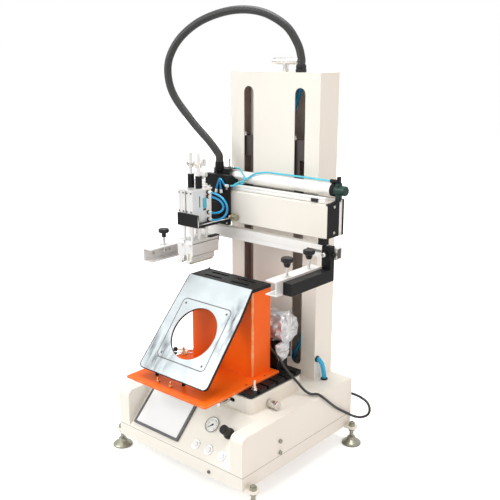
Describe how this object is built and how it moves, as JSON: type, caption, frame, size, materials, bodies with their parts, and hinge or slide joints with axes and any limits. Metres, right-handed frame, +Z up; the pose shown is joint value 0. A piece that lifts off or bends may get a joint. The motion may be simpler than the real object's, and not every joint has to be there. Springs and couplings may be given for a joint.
{
  "type": "flatbed screen printer",
  "caption": "Tabletop column screen printer with lifting print head, squeegee carriage, screen clamp arms, slotted table with an angled orange fixture and a sloped control panel.",
  "frame": {"origin": "on the floor under the centre of the machine, cords left out", "axes": "+Z up, the operator stands at -Y and faces +Y, +X to the operator's right"},
  "size_m": [0.6365, 0.591, 1.3267],
  "materials": {
    "ivory_paint": "satin powder coat",
    "black_metal": "black anodised",
    "black_plastic": "moulded",
    "orange_paint": "gloss paint",
    "bright_panel": "polished sheet",
    "aluminium": "brushed",
    "steel": "ground",
    "foil": "crumpled foil",
    "blue_tube": "polyurethane",
    "black_hose": "corrugated",
    "brass": "plated",
    "rubber": "translucent amber"
  },
  "bodies": {
    "base": {"base_pan": "ivory_paint", "base_cover": "ivory_paint", "case_fittings": "black_plastic", "plinth": "ivory_paint", "touch_screen": "black_metal", "pressure_gauge": "aluminium", "panel_fittings": "aluminium", "column_shell": "ivory_paint", "column_cap": "black_plastic", "lift_guides": "steel", "stage_base": "black_metal", "air_tube": "blue_tube", "conduit_hose": "black_hose", "motor_cable": "black_hose"},
    "foot_front_left": {"foot_fl": "steel"},
    "foot_front_right": {"foot_fr": "steel"},
    "foot_rear_left": {"foot_rl": "steel"},
    "foot_rear_right": {"foot_rr": "steel"},
    "gauge_pointer": {"gauge_needle": "black_metal"},
    "regulator": {"regulator_knob": "black_plastic"},
    "left_button": {"button_left": "aluminium"},
    "middle_button": {"button_middle": "aluminium"},
    "right_button": {"button_right": "aluminium"},
    "height_stop": {"height_handle": "steel"},
    "saddle": {"stage_saddle": "black_metal"},
    "side_knob": {"x_knob": "aluminium"},
    "front_knob": {"y_knob": "aluminium"},
    "table": {"table_top": "black_metal", "fixture_plate": "orange_paint", "fixture_upright": "orange_paint", "fixture_top": "black_metal", "slant_plate": "black_metal", "slant_panel": "bright_panel", "fixture_bolts": "brass", "gearbox": "black_metal", "wrapped_motor": "foil"},
    "head": {"lift_slider": "black_metal", "head_plate": "black_metal", "beam_ends": "black_metal", "beam_rail": "aluminium", "beam_cover": "ivory_paint", "stroke_cylinder": "aluminium", "frame_bar": "aluminium", "head_tube": "blue_tube"},
    "carriage": {"carriage_plate": "black_metal", "carriage_block": "black_metal", "squeegee_cylinders": "aluminium", "carriage_tubes": "blue_tube"},
    "squeegee": {"squeegee_holder": "aluminium", "squeegee_blade": "rubber"},
    "flood_bar": {"flood_holder": "aluminium"},
    "squeegee_nut": {"wing_nut_squeegee": "aluminium"},
    "flood_nut": {"wing_nut_flood": "aluminium"},
    "left_clamp": {"left_arm": "aluminium", "left_channel": "aluminium"},
    "right_clamp": {"right_arm": "black_metal", "right_channel": "aluminium"},
    "left_clamp_knob": {"left_knob": "black_plastic"},
    "right_clamp_knob_front": {"right_knob_front": "black_plastic"},
    "right_clamp_knob_rear": {"right_knob_rear": "black_plastic"}
  },
  "joints": [
    {"name": "head_lift", "type": "slide", "parent": "base", "child": "head", "axis": [0, 0, 1], "range_m": [-0.01, 0.15], "deforming": ["conduit_hose"]},
    {"name": "print_stroke", "type": "slide", "parent": "head", "child": "carriage", "axis": [1, 0, 0], "range_m": [0, 0.26], "deforming": ["conduit_hose", "head_tube"]},
    {"name": "squeegee_lift", "type": "slide", "parent": "carriage", "child": "squeegee", "axis": [0, 0, 1], "range_m": [-0.02, 0]},
    {"name": "flood_lift", "type": "slide", "parent": "carriage", "child": "flood_bar", "axis": [0, 0, 1], "range_m": [-0.02, 0]},
    {"name": "squeegee_nut_turn", "type": "hinge", "parent": "squeegee", "child": "squeegee_nut", "pos_m": [-0.1155, -0.034, 0.873], "axis": [0, 0, 1], "continuous": true},
    {"name": "flood_nut_turn", "type": "hinge", "parent": "flood_bar", "child": "flood_nut", "pos_m": [-0.1475, -0.034, 0.873], "axis": [0, 0, 1], "continuous": true},
    {"name": "left_clamp_slide", "type": "slide", "parent": "head", "child": "left_clamp", "axis": [1, 0, 0], "range_m": [-0.04, 0.03]},
    {"name": "right_clamp_slide", "type": "slide", "parent": "head", "child": "right_clamp", "axis": [1, 0, 0], "range_m": [-0.06, 0.005]},
    {"name": "left_clamp_screw", "type": "hinge", "parent": "left_clamp", "child": "left_clamp_knob", "pos_m": [-0.241, -0.063, 0.64], "axis": [0, 0, 1], "continuous": true},
    {"name": "right_clamp_screw_front", "type": "hinge", "parent": "right_clamp", "child": "right_clamp_knob_front", "pos_m": [0.258, -0.086, 0.64], "axis": [0, 0, 1], "continuous": true},
    {"name": "right_clamp_screw_rear", "type": "hinge", "parent": "right_clamp", "child": "right_clamp_knob_rear", "pos_m": [0.258, 0.011, 0.64], "axis": [0, 0, 1], "continuous": true},
    {"name": "stage_x", "type": "slide", "parent": "base", "child": "saddle", "axis": [1, 0, 0], "range_m": [-0.01, 0.01], "deforming": ["motor_cable"]},
    {"name": "stage_y", "type": "slide", "parent": "saddle", "child": "table", "axis": [0, 1, 0], "range_m": [-0.01, 0.01], "deforming": ["motor_cable"]},
    {"name": "side_knob_turn", "type": "hinge", "parent": "base", "child": "side_knob", "pos_m": [0.182, -0.062, 0.222], "axis": [1, 0, 0], "range_deg": [-1440, 1440]},
    {"name": "front_knob_turn", "type": "hinge", "parent": "saddle", "child": "front_knob", "pos_m": [0.1, -0.146, 0.2365], "axis": [0, 1, 0], "range_deg": [-1440, 1440]},
    {"name": "left_button_press", "type": "slide", "parent": "base", "child": "left_button", "axis": [0, 0.7071, -0.7071], "range_m": [0, 0.004], "stiffness_N_per_m": 500, "springref_m": -0.002},
    {"name": "middle_button_press", "type": "slide", "parent": "base", "child": "middle_button", "axis": [0, 0.7071, -0.7071], "range_m": [0, 0.004], "stiffness_N_per_m": 500, "springref_m": -0.002},
    {"name": "right_button_press", "type": "slide", "parent": "base", "child": "right_button", "axis": [0, 0.7071, -0.7071], "range_m": [0, 0.004], "stiffness_N_per_m": 500, "springref_m": -0.002},
    {"name": "regulator_turn", "type": "hinge", "parent": "base", "child": "regulator", "pos_m": [0.144, -0.19224, 0.16376], "axis": [0, -0.7071, 0.7071], "continuous": true},
    {"name": "gauge_pointer_turn", "type": "hinge", "parent": "base", "child": "gauge_pointer", "pos_m": [0.078, -0.18941, 0.16659], "axis": [0, 0.7071, -0.7071], "range_deg": [0, 270]},
    {"name": "height_stop_turn", "type": "hinge", "parent": "base", "child": "height_stop", "pos_m": [0.008, 0.217, 1.1], "axis": [0, 0, 1], "continuous": true},
    {"name": "foot_front_left_turn", "type": "hinge", "parent": "base", "child": "foot_front_left", "pos_m": [-0.27, -0.236, 0.03], "axis": [0, 0, 1], "continuous": true},
    {"name": "foot_front_right_turn", "type": "hinge", "parent": "base", "child": "foot_front_right", "pos_m": [0.27, -0.236, 0.03], "axis": [0, 0, 1], "continuous": true},
    {"name": "foot_rear_left_turn", "type": "hinge", "parent": "base", "child": "foot_rear_left", "pos_m": [-0.27, 0.24, 0.03], "axis": [0, 0, 1], "continuous": true},
    {"name": "foot_rear_right_turn", "type": "hinge", "parent": "base", "child": "foot_rear_right", "pos_m": [0.27, 0.24, 0.03], "axis": [0, 0, 1], "continuous": true}
  ],
  "couplings": [
    {"joint": "side_knob_turn", "follows": "stage_x", "rad_per_m": 2513.2},
    {"joint": "front_knob_turn", "follows": "stage_y", "rad_per_m": 2513.2}
  ]
}
